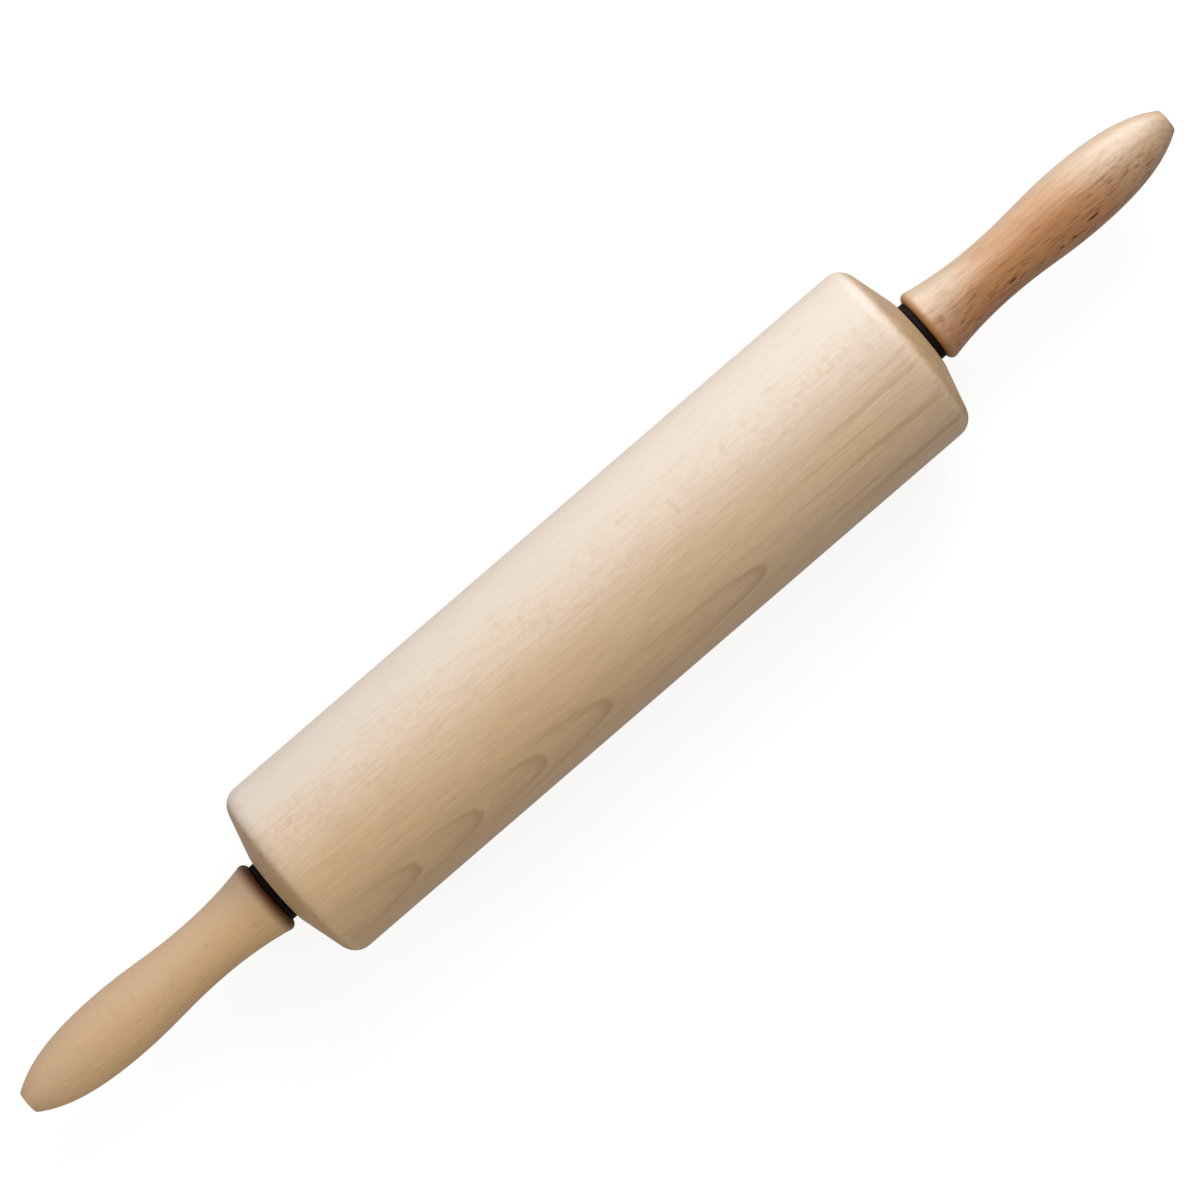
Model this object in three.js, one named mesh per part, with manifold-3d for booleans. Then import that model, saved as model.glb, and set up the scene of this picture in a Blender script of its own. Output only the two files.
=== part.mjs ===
// A wooden rolling pin: a barrel that turns on two ball bearings around a steel axle, with a handle
// glued to each end of the axle. Millimetres, +X along the axle, +Z up, origin at the pin's middle.

import * as THREE from 'three';
import { mergeVertices } from 'three/addons/utils/BufferGeometryUtils.js';
import Module from 'manifold-3d';

// Barrel
const BARREL_DIAMETER = 60;
const BARREL_LENGTH = 245;
const END_CONE_ANGLE = THREE.MathUtils.degToRad(16); // slope of each end, from square to the axle
const END_EDGE_RADIUS = 6;
const END_LAND = 3; // flat ring left around each bearing seat

// Handles
const RIM_DIAMETER = 23.8;
const RIM_ROUND = 2;
const NECK_DIAMETER = 19;
const BELLY_DIAMETER = 22.1;
const TIP_DIAMETER = 7;
const FLARE_LENGTH = 26; // rim to neck
const SWELL_LENGTH = 32; // neck to belly
const NOSE_LENGTH = 34.5; // belly to tip
const SWELL_EASE = 0.42; // share of the swell over which neck and belly run level
const NOSE_FULLNESS = 0.46; // share of the nose over which the belly runs level
const NOSE_DROP = { along: 0.23, rise: 0.71 }; // slope at the tip, as shares of nose length and drop

// Axle
const AXLE_DIAMETER = 8;
const AXLE_GRIP = 55; // length of axle inside each handle
const AXLE_CHAMFER = 0.8;
const GLUE_POCKET = 2; // air left past the axle's end
const GLUE_GROOVES = 2; // for each end
const GLUE_GROOVE_WIDTH = 2;
const GLUE_GROOVE_DEPTH = 0.4;
const GLUE_GROOVE_PITCH = 16;

// Bearings, 8 x 19 x 6 mm with these values
const BALL_DIAMETER = 3;
const BALL_COUNT = 7;
const RING_WALL = 1.05; // thinnest part of each ring, under its race
const RACE_DEPTH = 0.75;
const CAGE_BACK = 0.5; // wall of the crown cage behind the balls
const CAGE_REACH = 1; // how far its prongs pass the balls' centres
const SEAL_THICKNESS = 0.45;
const SEAL_STEP = 0.6; // width of the ledge that each seal sits on
const BEARING_RECESS = 1; // bearing face below the barrel's end face

// Dust collars
const COLLAR_THICKNESS = 1.8;

// Clearances
const SEAM = 0.1; // between pieces that sit tight together
const RUN_GAP = 0.5; // barrel end to collar
const BORE_ROOM = 1; // barrel bore around the inner rings
const RACE_GAP = 0.15;
const POCKET_GAP = 0.25;
const CAGE_GAP = 0.25; // cage to ring shoulders
const CAGE_SIDE_GAP = 0.2; // cage to seal
const SEAL_LIP_GAP = 0.3;
const SEAL_INSET = 0.1;

// Facets
const SIDES = 24;
const HALF_FACET = Math.PI / SIDES;
const FLAT_TO_CORNER = 1 / Math.cos(HALF_FACET); // the flats, not the corners, lie at a stated radius
const EDGE_STEPS = 4;
const CURVE_STEPS = 6;
const RACE_STEPS = 3;
const BALL_FACETS = [12, 7];
const POCKET_FACETS = [12, 8];
const SAME_POINT = 1e-6;

// Radii and places that follow
const axleRadius = AXLE_DIAMETER / 2;
const fitRadius = axleRadius + SEAM;
const ballRadius = BALL_DIAMETER / 2;
const raceRadius = ballRadius + RACE_GAP;
const pitchRadius = fitRadius + RING_WALL + raceRadius;
const bearingRadius = pitchRadius + raceRadius + RING_WALL;
const shoulderOffset = raceRadius - RACE_DEPTH;
const innerShoulder = pitchRadius - shoulderOffset;
const outerShoulder = pitchRadius + shoulderOffset;
const sealSeat = outerShoulder + SEAL_STEP;
const cageBackReach = ballRadius + POCKET_GAP + CAGE_BACK;
const bearingHalfWidth = cageBackReach + CAGE_SIDE_GAP + SEAL_THICKNESS + SEAL_INSET;
const barrelRadius = BARREL_DIAMETER / 2;
const barrelEnd = BARREL_LENGTH / 2;
const bearingSeat = bearingRadius + SEAM;
const bearingPlace = barrelEnd - BEARING_RECESS - bearingHalfWidth;
const collarPlace = barrelEnd + RUN_GAP;
const handlePlace = collarPlace + COLLAR_THICKNESS + SEAM;
const rimRadius = RIM_DIAMETER / 2;

const wasm = await Module();
wasm.setup();

const BEECH = { color: 0xd9bf9b, roughness: 0.55, metalness: 0 };
const WAXED_BEECH = { color: 0xc99a68, roughness: 0.4, metalness: 0 };
const STEEL = { color: 0xb9bcc0, roughness: 0.3, metalness: 1 };
const BLACK_NYLON = { color: 0x16110f, roughness: 0.6, metalness: 0 };
const CAGE_NYLON = { color: 0xd8d2c0, roughness: 0.5, metalness: 0 };
const SEAL_RUBBER = { color: 0x242222, roughness: 0.8, metalness: 0 };

function point(along, radius) {
  return new THREE.Vector2(along, radius);
}

function arc(centre, radius, from, to, steps, clockwise = false) {
  return new THREE.EllipseCurve(centre.x, centre.y, radius, radius, from, to, clockwise).getPoints(steps);
}

function mirrored(outline) {
  return outline.map(({ x, y }) => point(-x, y)).reverse();
}

function rectangle(start, end, inner, outer) {
  return [point(start, outer), point(end, outer), point(end, inner), point(start, inner), point(start, outer)];
}

// Turns an outline of (along, radius) points about X. The outer side runs towards +X.
function turned(outline) {
  const kept = outline.filter((at, i) => i === 0 || at.distanceTo(outline[i - 1]) > SAME_POINT);
  const points = kept.map(({ x, y }) => new THREE.Vector2(y * FLAT_TO_CORNER, x));
  return new THREE.LatheGeometry(points, SIDES, HALF_FACET).rotateZ(-Math.PI / 2);
}

function ringFromHalf(half) {
  return turned([...half, ...mirrored(half), half[0]]);
}

function rodFromHalf(half) {
  return turned([...mirrored(half), ...half]);
}

function named(name, geometry, finish) {
  const mesh = new THREE.Mesh(geometry, new THREE.MeshStandardMaterial(finish));
  mesh.name = name;
  return mesh;
}

function solidOf(geometry) {
  const bare = geometry.clone();
  bare.deleteAttribute('normal');
  bare.deleteAttribute('uv');
  const merged = mergeVertices(bare);
  const vertProperties = new Float32Array(merged.attributes.position.array);
  const triVerts = new Uint32Array(merged.index.array);
  return new wasm.Manifold(new wasm.Mesh({ numProp: 3, vertProperties, triVerts }));
}

function geometryOf(solid) {
  const { vertProperties, triVerts } = solid.getMesh();
  const geometry = new THREE.BufferGeometry();
  geometry.setAttribute('position', new THREE.BufferAttribute(vertProperties, 3));
  geometry.setIndex(new THREE.BufferAttribute(triVerts, 1));
  return geometry;
}

function barrel() {
  const faceRadius = bearingSeat + END_LAND;
  const shoulderPlace = bearingPlace - bearingHalfWidth - SEAM;
  const edgeRadius = barrelRadius - END_EDGE_RADIUS;
  const coneRun = Math.sin(END_CONE_ANGLE) * (faceRadius - edgeRadius) - END_EDGE_RADIUS;
  const edge = point(barrelEnd + coneRun / Math.cos(END_CONE_ANGLE), edgeRadius);
  return named('barrel', ringFromHalf([
    ...arc(edge, END_EDGE_RADIUS, Math.PI / 2, END_CONE_ANGLE, EDGE_STEPS, true),
    point(barrelEnd, faceRadius),
    point(barrelEnd, bearingSeat),
    point(shoulderPlace, bearingSeat),
    point(shoulderPlace, innerShoulder + BORE_ROOM),
  ]), BEECH);
}

function axle() {
  const end = handlePlace + AXLE_GRIP;
  const half = [];
  for (let i = GLUE_GROOVES; i > 0; i -= 1) {
    const start = end - i * GLUE_GROOVE_PITCH;
    half.push(
      point(start, axleRadius),
      point(start, axleRadius - GLUE_GROOVE_DEPTH),
      point(start + GLUE_GROOVE_WIDTH, axleRadius - GLUE_GROOVE_DEPTH),
      point(start + GLUE_GROOVE_WIDTH, axleRadius),
    );
  }
  half.push(point(end - AXLE_CHAMFER, axleRadius), point(end, axleRadius - AXLE_CHAMFER), point(end, 0));
  return named('axle_rod', rodFromHalf(half), STEEL);
}

function handle(name) {
  const neck = point(FLARE_LENGTH, NECK_DIAMETER / 2);
  const belly = point(FLARE_LENGTH + SWELL_LENGTH, BELLY_DIAMETER / 2);
  const tip = point(belly.x + NOSE_LENGTH, TIP_DIAMETER / 2);
  const drop = NOSE_DROP.rise * (belly.y - tip.y);
  const flare = new THREE.QuadraticBezierCurve(point(RIM_ROUND, rimRadius), point(FLARE_LENGTH / 2, neck.y), neck);
  const swell = new THREE.CubicBezierCurve(
    neck,
    point(neck.x + SWELL_EASE * SWELL_LENGTH, neck.y),
    point(belly.x - SWELL_EASE * SWELL_LENGTH, belly.y),
    belly,
  );
  const nose = new THREE.CubicBezierCurve(
    belly,
    point(belly.x + NOSE_FULLNESS * NOSE_LENGTH, belly.y),
    point(tip.x - NOSE_DROP.along * NOSE_LENGTH, tip.y + drop),
    tip,
  );
  const boreDepth = AXLE_GRIP + GLUE_POCKET;
  const rimCentre = point(RIM_ROUND, rimRadius - RIM_ROUND);
  return named(name, turned([
    point(boreDepth, 0),
    point(boreDepth, fitRadius),
    point(0, fitRadius),
    ...arc(rimCentre, RIM_ROUND, Math.PI, Math.PI / 2, EDGE_STEPS, true),
    ...flare.getPoints(CURVE_STEPS),
    ...swell.getPoints(CURVE_STEPS),
    ...nose.getPoints(CURVE_STEPS),
    point(tip.x, 0),
  ]), WAXED_BEECH);
}

// The flange fills the gap that shows, and the boss bears on the bearing's inner ring.
function dustCollar(name) {
  const bossEnd = SEAM - BEARING_RECESS - RUN_GAP;
  const flangeRadius = rimRadius - RIM_ROUND;
  return named(name, turned([
    point(bossEnd, innerShoulder),
    point(0, innerShoulder),
    point(0, flangeRadius),
    point(COLLAR_THICKNESS, flangeRadius),
    point(COLLAR_THICKNESS, fitRadius),
    point(bossEnd, fitRadius),
    point(bossEnd, innerShoulder),
  ]), BLACK_NYLON);
}

function outerRing(name) {
  const ledge = bearingHalfWidth - SEAL_INSET - SEAL_THICKNESS - SEAM;
  const lip = Math.asin(shoulderOffset / raceRadius);
  return named(name, ringFromHalf([
    point(bearingHalfWidth, bearingRadius),
    point(bearingHalfWidth, sealSeat),
    point(ledge, sealSeat),
    point(ledge, outerShoulder),
    ...arc(point(0, pitchRadius), raceRadius, lip, Math.PI / 2, RACE_STEPS),
  ]), STEEL);
}

function innerRing(name) {
  const lip = Math.asin(shoulderOffset / raceRadius);
  return named(name, ringFromHalf([
    ...arc(point(0, pitchRadius), raceRadius, -Math.PI / 2, -lip, RACE_STEPS),
    point(bearingHalfWidth, innerShoulder),
    point(bearingHalfWidth, fitRadius),
  ]), STEEL);
}

function seal(name, outward) {
  const outerFace = bearingHalfWidth - SEAL_INSET;
  const [start, end] = [outward * outerFace, outward * (outerFace - SEAL_THICKNESS)].sort((a, b) => a - b);
  return named(name, turned(rectangle(start, end, innerShoulder + SEAL_LIP_GAP, sealSeat - SEAM)), SEAL_RUBBER);
}

function ballCentres() {
  return Array.from({ length: BALL_COUNT }, (_, i) => {
    const angle = (2 * Math.PI * i) / BALL_COUNT;
    return new THREE.Vector3(0, pitchRadius * Math.sin(angle), pitchRadius * Math.cos(angle));
  });
}

function cage(name) {
  const halfDepth = shoulderOffset - CAGE_GAP;
  const band = rectangle(-cageBackReach, CAGE_REACH, pitchRadius - halfDepth, pitchRadius + halfDepth);
  let crown = solidOf(turned(band));
  for (const { x, y, z } of ballCentres()) {
    const pocket = new THREE.SphereGeometry(ballRadius + POCKET_GAP, ...POCKET_FACETS).translate(x, y, z);
    crown = crown.subtract(solidOf(pocket));
  }
  return named(name, geometryOf(crown), CAGE_NYLON);
}

function bearing(side) {
  const prefix = `bearing_${side}`;
  const group = new THREE.Group();
  group.add(
    outerRing(`${prefix}_outer_ring`),
    innerRing(`${prefix}_inner_ring`),
    cage(`${prefix}_cage`),
    seal(`${prefix}_seal_outboard`, 1),
    seal(`${prefix}_seal_inboard`, -1),
  );
  ballCentres().forEach((centre, i) => {
    const ball = named(`${prefix}_ball_${i + 1}`, new THREE.SphereGeometry(ballRadius, ...BALL_FACETS), STEEL);
    ball.position.copy(centre);
    group.add(ball);
  });
  return group;
}

// Everything at the +X end. The left end is the same, turned half round.
function endSet(side) {
  const group = new THREE.Group();
  const place = (piece, along) => {
    piece.position.x = along;
    group.add(piece);
  };
  place(bearing(side), bearingPlace);
  place(dustCollar(`dust_collar_${side}`), collarPlace);
  place(handle(`handle_${side}`), handlePlace);
  return group;
}

const pin = new THREE.Group();
const rightEnd = endSet('right');
const leftEnd = endSet('left');
leftEnd.rotation.z = Math.PI;
pin.add(barrel(), axle(), leftEnd, rightEnd);

export default pin;
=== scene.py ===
"""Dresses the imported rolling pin: turned beech, black collars, a steel axle on ball bearings, and a studio.

Lengths are in metres in the part's own frame: +X along the axle, +Z up, origin at the pin's middle.
The figure of a finish is finer than that, so its lengths are in millimetres.
"""

import logging
import math
from dataclasses import dataclass, field
from enum import Enum
from functools import reduce
from itertools import pairwise
from typing import Protocol

import bpy
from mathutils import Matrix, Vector


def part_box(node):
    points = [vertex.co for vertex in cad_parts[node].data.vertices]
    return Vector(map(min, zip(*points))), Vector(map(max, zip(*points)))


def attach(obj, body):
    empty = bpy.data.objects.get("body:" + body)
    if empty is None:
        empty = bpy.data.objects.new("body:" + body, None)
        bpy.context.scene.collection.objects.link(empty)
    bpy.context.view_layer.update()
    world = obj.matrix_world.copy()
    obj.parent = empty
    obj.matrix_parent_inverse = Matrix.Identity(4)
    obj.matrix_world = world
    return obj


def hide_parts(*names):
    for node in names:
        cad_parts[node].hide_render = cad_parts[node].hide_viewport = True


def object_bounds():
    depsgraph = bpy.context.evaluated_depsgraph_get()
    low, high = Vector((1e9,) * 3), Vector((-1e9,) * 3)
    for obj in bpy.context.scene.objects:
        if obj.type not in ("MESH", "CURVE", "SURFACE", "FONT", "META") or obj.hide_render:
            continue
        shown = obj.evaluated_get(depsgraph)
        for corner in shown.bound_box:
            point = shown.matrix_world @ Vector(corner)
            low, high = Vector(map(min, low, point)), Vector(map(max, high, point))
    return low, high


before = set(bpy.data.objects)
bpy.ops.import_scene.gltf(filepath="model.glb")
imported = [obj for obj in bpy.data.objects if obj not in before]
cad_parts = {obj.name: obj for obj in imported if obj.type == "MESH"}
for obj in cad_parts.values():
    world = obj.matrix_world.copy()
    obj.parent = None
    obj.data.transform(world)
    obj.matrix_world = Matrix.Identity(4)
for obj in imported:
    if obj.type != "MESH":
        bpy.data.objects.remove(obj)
CAD_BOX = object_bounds()

log = logging.getLogger("rolling_pin")

MM = 0.001
SEED_SIZE = 0.1 * MM
WELD = 0.001 * MM
SMOOTH_ANGLE = math.radians(35)
LINE_DETAIL = 2.0
MIX_COLOUR_OUTPUT = 2

Colour = tuple[float, float, float]
Point = tuple[float, float]
Triple = tuple[float, float, float]


class Side(Enum):
    """The two ends of the pin, with the sign of X that each lies at."""

    LEFT = -1
    RIGHT = 1

    @property
    def label(self) -> str:
        """The side's name as it stands in the names of nodes."""
        return self.name.lower()


class Body(Enum):
    """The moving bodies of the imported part."""

    AXLE = "axle_and_handles"
    BARREL = "barrel_and_rings"
    LEFT_CAGE = "left_cage_and_balls"
    RIGHT_CAGE = "right_cage_and_balls"


class Slot(Enum):
    """The record's material slots."""

    BARREL = "barrel_beech"
    HANDLE = "handle_beech"
    COLLAR = "collar_nylon"
    AXLE = "axle_steel"
    RING = "bearing_steel"
    BALL = "ball_steel"
    CAGE = "cage_nylon"
    SEAL = "seal_rubber"


class Signal:
    """A shader value that takes part in Python arithmetic by adding Math nodes to its sheet."""

    def __init__(self, sheet: "NodeSheet", socket: bpy.types.NodeSocket) -> None:
        """Wraps one output socket of a node on the sheet."""
        self.sheet = sheet
        self.socket = socket

    def __add__(self, other: "Number") -> "Signal":
        """Self plus other."""
        return self.sheet.math("ADD", self, other)

    def __sub__(self, other: "Number") -> "Signal":
        """Self minus other."""
        return self.sheet.math("SUBTRACT", self, other)

    def __rsub__(self, other: float) -> "Signal":
        """Other minus self."""
        return self.sheet.math("SUBTRACT", other, self)

    def __mul__(self, other: "Number") -> "Signal":
        """Self times other."""
        return self.sheet.math("MULTIPLY", self, other)

    def __truediv__(self, other: "Number") -> "Signal":
        """Self over other."""
        return self.sheet.math("DIVIDE", self, other)

    def __abs__(self) -> "Signal":
        """Self without its sign."""
        return self.sheet.math("ABSOLUTE", self)

    def lifted(self, floor: float) -> "Signal":
        """A mask that runs from the floor to 1 instead of from 0 to 1."""
        return self * (1.0 - floor) + floor


Number = Signal | float
Place = tuple[Signal, Signal, Signal]


class NodeSheet:
    """A material's node tree, with a Principled shader whose sockets are set or fed."""

    def __init__(self, name: str) -> None:
        """Makes the material and its empty tree.

        Args:
            name: The material's name.
        """
        self.material = bpy.data.materials.new(name)
        self.material.use_nodes = True
        self.tree = self.material.node_tree
        self.tree.nodes.clear()

    def node(self, kind: str, settings: dict | None = None, sockets: dict | None = None) -> bpy.types.Node:
        """Adds any node.

        Args:
            kind: The node's type name.
            settings: Properties of the node, set before its sockets.
            sockets: Values or links by socket index, identifier or name.

        Returns:
            The new node.
        """
        made = self.tree.nodes.new(kind)
        for key, value in (settings or {}).items():
            setattr(made, key, value)
        for key, value in (sockets or {}).items():
            target = made.inputs[key] if isinstance(key, int) else self._socket(made, key)
            if isinstance(value, Signal):
                self.tree.links.new(value.socket, target)
            else:
                target.default_value = value
        return made

    @staticmethod
    def _socket(node: bpy.types.Node, key: str) -> bpy.types.NodeSocket:
        """The node's input with that identifier, or else with that name."""
        by_identifier = {socket.identifier: socket for socket in node.inputs}
        return by_identifier.get(key) or node.inputs[key]

    def signal(self, node: bpy.types.Node, output: int | str = 0) -> Signal:
        """Wraps one of a node's outputs."""
        return Signal(self, node.outputs[output])

    def math(self, operation: str, *values: Number) -> Signal:
        """Adds a Math node on one or more values."""
        return self.signal(self.node("ShaderNodeMath", {"operation": operation}, dict(enumerate(values))))

    def vector(self, x: Number, y: Number, z: Number) -> Signal:
        """Joins three values into a vector."""
        return self.signal(self.node("ShaderNodeCombineXYZ", None, {0: x, 1: y, 2: z}))

    def split(self, vector: Signal) -> Place:
        """Takes a vector apart into its three values."""
        made = self.node("ShaderNodeSeparateXYZ", None, {0: vector})
        return self.signal(made, 0), self.signal(made, 1), self.signal(made, 2)

    def place(self) -> Place:
        """The shaded point in the piece's own frame.

        Returns:
            Its X, Y and Z, in millimetres.
        """
        coordinates = self.node("ShaderNodeTexCoord")
        scaled = self.node(
            "ShaderNodeVectorMath",
            {"operation": "SCALE"},
            {0: self.signal(coordinates, "Object"), "Scale": 1 / MM},
        )
        return self.split(self.signal(scaled))

    def facing_along(self) -> Signal:
        """How far the surface faces along the axle, from 0 to 1."""
        coordinates = self.node("ShaderNodeTexCoord")
        return abs(self.split(self.signal(coordinates, "Normal"))[0])

    def smooth(self, value: Signal, start: float, end: float) -> Signal:
        """Adds a smooth step.

        Args:
            value: The value to look at.
            start: Where the step is 0.
            end: Where it is 1, on either side of the start.

        Returns:
            The step.
        """
        step = self.node(
            "ShaderNodeMapRange",
            {"interpolation_type": "SMOOTHSTEP"},
            {"Value": value, "From Min": start, "From Max": end},
        )
        return self.signal(step)

    def noise(self, vector: Signal, detail: float, roughness: float = 0.5) -> Signal:
        """Adds noise with features one unit of the vector in size.

        Args:
            vector: The place to look at.
            detail: How many times finer noise is added.
            roughness: How strong the finer noise is.

        Returns:
            The noise, about zero.
        """
        made = self.node(
            "ShaderNodeTexNoise",
            {"noise_dimensions": "3D"},
            {"Vector": vector, "Scale": 1.0, "Detail": detail, "Roughness": roughness},
        )
        return self.signal(made) - 0.5

    def noise_along(self, value: Signal) -> Signal:
        """Adds noise that changes with one value only.

        Args:
            value: The value, with features one unit in size.

        Returns:
            The noise, about zero.
        """
        made = self.node(
            "ShaderNodeTexNoise",
            {"noise_dimensions": "1D"},
            {"W": value, "Scale": 1.0, "Detail": LINE_DETAIL},
        )
        return self.signal(made) - 0.5

    def cells(self, vector: Signal) -> tuple[Signal, Signal]:
        """Adds scattered points, one to a unit cell.

        Args:
            vector: The place to look at.

        Returns:
            The distance to the nearest point, and that point's own random number.
        """
        made = self.node("ShaderNodeTexVoronoi", {"feature": "F1"}, {"Vector": vector, "Scale": 1.0})
        chance = self.node("ShaderNodeSeparateColor", None, {0: self.signal(made, "Color")})
        return self.signal(made, "Distance"), self.signal(chance)

    def mix(self, factor: Number, first: Signal | Colour, second: Signal | Colour) -> Signal:
        """Mixes two colours.

        Args:
            factor: The share of the second colour.
            first: The first colour.
            second: The second colour.

        Returns:
            The mixed colour.
        """
        ends = [colour if isinstance(colour, Signal) else (*colour, 1.0) for colour in (first, second)]
        made = self.node(
            "ShaderNodeMix",
            {"data_type": "RGBA", "clamp_factor": True},
            {"Factor_Float": factor, "A_Color": ends[0], "B_Color": ends[1]},
        )
        return self.signal(made, MIX_COLOUR_OUTPUT)

    def bump(self, height: Signal, depth: float) -> Signal:
        """A normal bent by a height from 0 to 1 that stands for a depth in metres."""
        return self.signal(self.node("ShaderNodeBump", None, {"Distance": depth, "Height": height}))

    def principled(self, **sockets: Signal | float | tuple[float, ...]) -> bpy.types.Material:
        """Adds the Principled shader and the output.

        Args:
            **sockets: Values or links by socket name, with underscores for spaces.

        Returns:
            The finished material.
        """
        named = {key.replace("_", " "): value for key, value in sockets.items()}
        shader = self.node("ShaderNodeBsdfPrincipled", None, named)
        self.node("ShaderNodeOutputMaterial", None, {"Surface": self.signal(shader)})
        return self.material


def shaded(colour: Colour, share: float) -> Colour:
    """A colour made lighter or darker by a share."""
    return tuple(share * channel for channel in colour)


@dataclass(frozen=True)
class Pattern:
    """Noise about zero, drawn out along the grain.

    Attributes:
        along: How many features there are to a millimetre along X.
        across: How many there are across it.
        detail: How many times finer noise is added.
        roughness: How strong the finer noise is.
    """

    along: float
    across: float
    detail: float
    roughness: float = 0.5

    def at(self, place: Place) -> Signal:
        """Reads the noise at a place.

        Args:
            place: Where to look: along X, and the two ways across it.

        Returns:
            The noise there.
        """
        x, y, z = place
        sheet = x.sheet
        scaled = sheet.vector(x * self.along, y * self.across, z * self.across)
        return sheet.noise(scaled, self.detail, self.roughness)


RING_DRIFT = Pattern(0.011, 0.03, 1.0)
FIBRE_SWAY = Pattern(0.2, 0.22, 2.0)
RAY_SWAY = Pattern(0.06, 0.1, 2.0)
CLOUDS = Pattern(0.02, 0.07, 1.0)
RING_PATCHES = Pattern(0.03, 0.2, 1.0)
FIBRES = Pattern(0.08, 1.1, 3.0, 0.6)
PORES = Pattern(0.3, 4.0, 2.0)
RAGGED_EDGE = Pattern(0.12, 0.4, 2.0)
COARSE_DASHES = Pattern(0.16, 1.1, 2.0)
FINE_DASHES = Pattern(0.3, 2.2, 2.0)
STEEL_SMEARS = Pattern(0.1, 0.3, 3.0)
MOULD_GRAIN = Pattern(4.0, 4.0, 3.0)


@dataclass(frozen=True)
class Spot:
    """The shaded point, with its place in the board that the piece is turned from.

    Attributes:
        sheet: The material's sheet.
        place: The point in the piece's own frame.
        swayed: The same point, moved aside as the fibres sway.
        outward: Its distance from the axle towards the flat-sawn side.
        across: Its distance from the middle of the flat-sawn side.
        ring: Its distance from the pith.
        girth: Its distance round the pith, as it is at the axle.
        band: 1 in the band of curly wood, and 0 elsewhere.
        curl: How strongly the fibres curl there.
        warmth: 0 on the pale side, where the colour is partly painted sheen (painted shade on the left
            handle), to 1 where the wood is warm.
        wave: How far the rays wander.
    """

    sheet: NodeSheet
    place: Place
    swayed: Place
    outward: Signal
    across: Signal
    ring: Signal
    girth: Signal
    band: Signal
    curl: Signal
    warmth: Signal
    wave: Signal

    @property
    def x(self) -> Signal:
        """Its place along the axle."""
        return self.place[0]


@dataclass(frozen=True)
class Board:
    """How a piece lies in the board that it is turned from, and where its wood is pale or warm; the pale side
    faces the lamps and carries painted sheen, and on the left handle painted shade.

    Attributes:
        flat_turn: The direction in which the surface is flat-sawn, in degrees from +Z towards -Y.
        pith_distance: How far from the axle the pith runs, which the growth rings lie round.
        pith_tilt: The drift of the pith for each unit along X.
        warm_span: How far outward the wood starts to be warm, and where it is fully warm.
        warm_drift: The drift of that span for each unit along X.
        painted_highlight_ends: The middle and half length of the warm stretch, and how far it draws in at its
            ends, where the pale wood is painted highlight.
        under_depth: How far below the axle the underside is at its warmest.
        under_warmth: How warm it is there.
        cloud_reach: How far soft clouds move the edge of the warm wood, outward and below.
        curl: How far the fibres curl in the curly band.
        curl_band: How far outward that band starts and ends.
        band_edge: How softly it does so.
        fibre_sway: How far the fibres sway elsewhere.
        ray_sway: How far the rays wander.
    """

    flat_turn: float
    pith_distance: float
    pith_tilt: float
    warm_span: Point
    warm_drift: float = 0.0
    painted_highlight_ends: Triple | None = None
    under_depth: float = 8.0
    under_warmth: float = 0.7
    cloud_reach: Point = (9.0, 6.0)
    curl: float = 0.0
    curl_band: Point = (2.0, 21.0)
    band_edge: float = 6.0
    fibre_sway: float = 0.8
    ray_sway: float = 4.0

    def spot(self, sheet: NodeSheet) -> Spot:
        """Finds the shaded point's place in the board.

        Args:
            sheet: The material's sheet.

        Returns:
            The point.
        """
        place = sheet.place()
        x, y, z = place
        turn = math.radians(self.flat_turn)
        outward = z * math.cos(turn) - y * math.sin(turn)
        across = y * math.cos(turn) + z * math.sin(turn)
        depth = outward + x * self.pith_tilt + RING_DRIFT.at((x, outward, across)) + self.pith_distance
        low, high = self.curl_band
        band_start = sheet.smooth(outward, low, low + self.band_edge)
        band = band_start * sheet.smooth(outward, high, high - self.band_edge)
        curl = band * self.curl
        sway = FIBRE_SWAY.at(place) * (curl + self.fibre_sway)
        return Spot(
            sheet=sheet,
            place=place,
            swayed=(x, y + sway, z + sway),
            outward=outward,
            across=across,
            ring=sheet.math("SQRT", depth * depth + across * across),
            girth=sheet.math("ARCTAN2", across, depth) * self.pith_distance,
            band=band,
            curl=curl,
            warmth=self._warmth(place, outward),
            wave=RAY_SWAY.at(place) * self.ray_sway,
        )

    def _warmth(self, place: Place, outward: Signal) -> Signal:
        """Finds how warm the wood is.

        Args:
            place: The shaded point.
            outward: Its distance towards the flat-sawn side.

        Returns:
            The warmth, from 0 to 1.
        """
        x, _, z = place
        sheet = x.sheet
        cloud = CLOUDS.at(place)
        outer_reach, under_reach = self.cloud_reach
        depth = outward + cloud * outer_reach - x * self.warm_drift
        # Painted highlight: the wood turns pale towards the ends of the warm stretch.
        if self.painted_highlight_ends:
            middle, half, inset = self.painted_highlight_ends
            depth = depth - sheet.smooth(abs(x - middle), half / 4, half) * inset
        flat_sawn = sheet.smooth(depth, *self.warm_span)
        under = sheet.smooth(z + cloud * under_reach, 0.0, -self.under_depth) * self.under_warmth
        return sheet.math("MAXIMUM", flat_sawn, under)


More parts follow.
